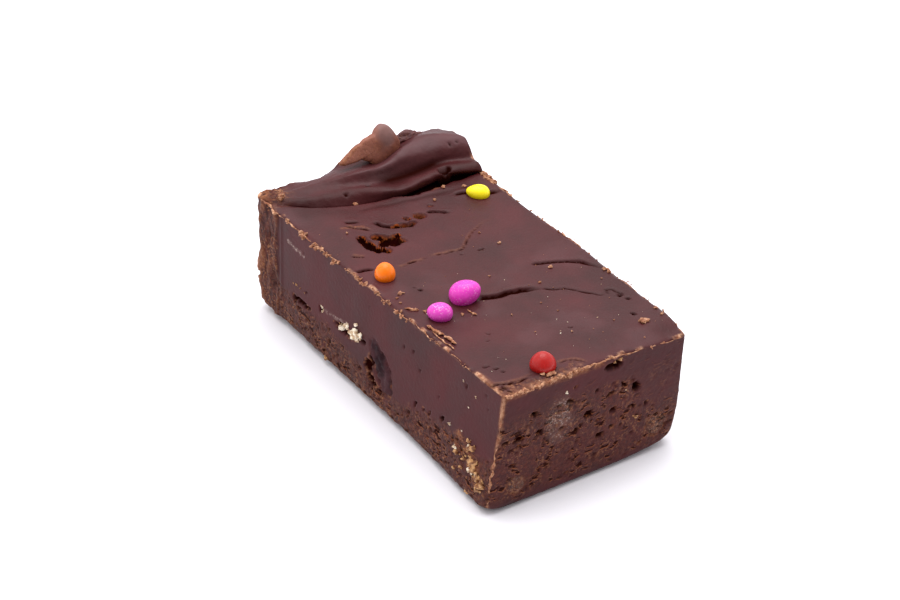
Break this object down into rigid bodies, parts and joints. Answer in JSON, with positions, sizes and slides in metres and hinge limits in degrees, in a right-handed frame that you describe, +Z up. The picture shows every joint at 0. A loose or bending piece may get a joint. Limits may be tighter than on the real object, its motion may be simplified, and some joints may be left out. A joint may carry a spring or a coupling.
{
  "type": "chocolate fudge slice",
  "caption": "Cut slice of chocolate fudge with a folded crest at one end, torn and porous cut sides, and sugar-coated candies pressed into its top.",
  "frame": {"origin": "centre of the slice's base, on the surface that it rests on", "axes": "+X along the slice's length, from the folded crest to the cut end; +Y across it, from the long cut side shown to the other; +Z up"},
  "size_m": [0.0919, 0.0476, 0.0379],
  "materials": {
    "fudge": "semi-matte chocolate fudge, satin on top, torn and crumbly on the cut faces",
    "candy_yellow": "satin sugar shell, yellow",
    "candy_orange": "satin sugar shell, orange",
    "candy_magenta": "sugar shell with a pale frosting of fine specks, magenta",
    "candy_red": "satin sugar shell, red"
  },
  "bodies": {
    "root": {"fudge": "fudge", "candy_yellow": "candy_yellow", "candy_orange": "candy_orange", "candy_magenta_large": "candy_magenta", "candy_magenta_small": "candy_magenta", "candy_red": "candy_red"}
  },
  "joints": []
}
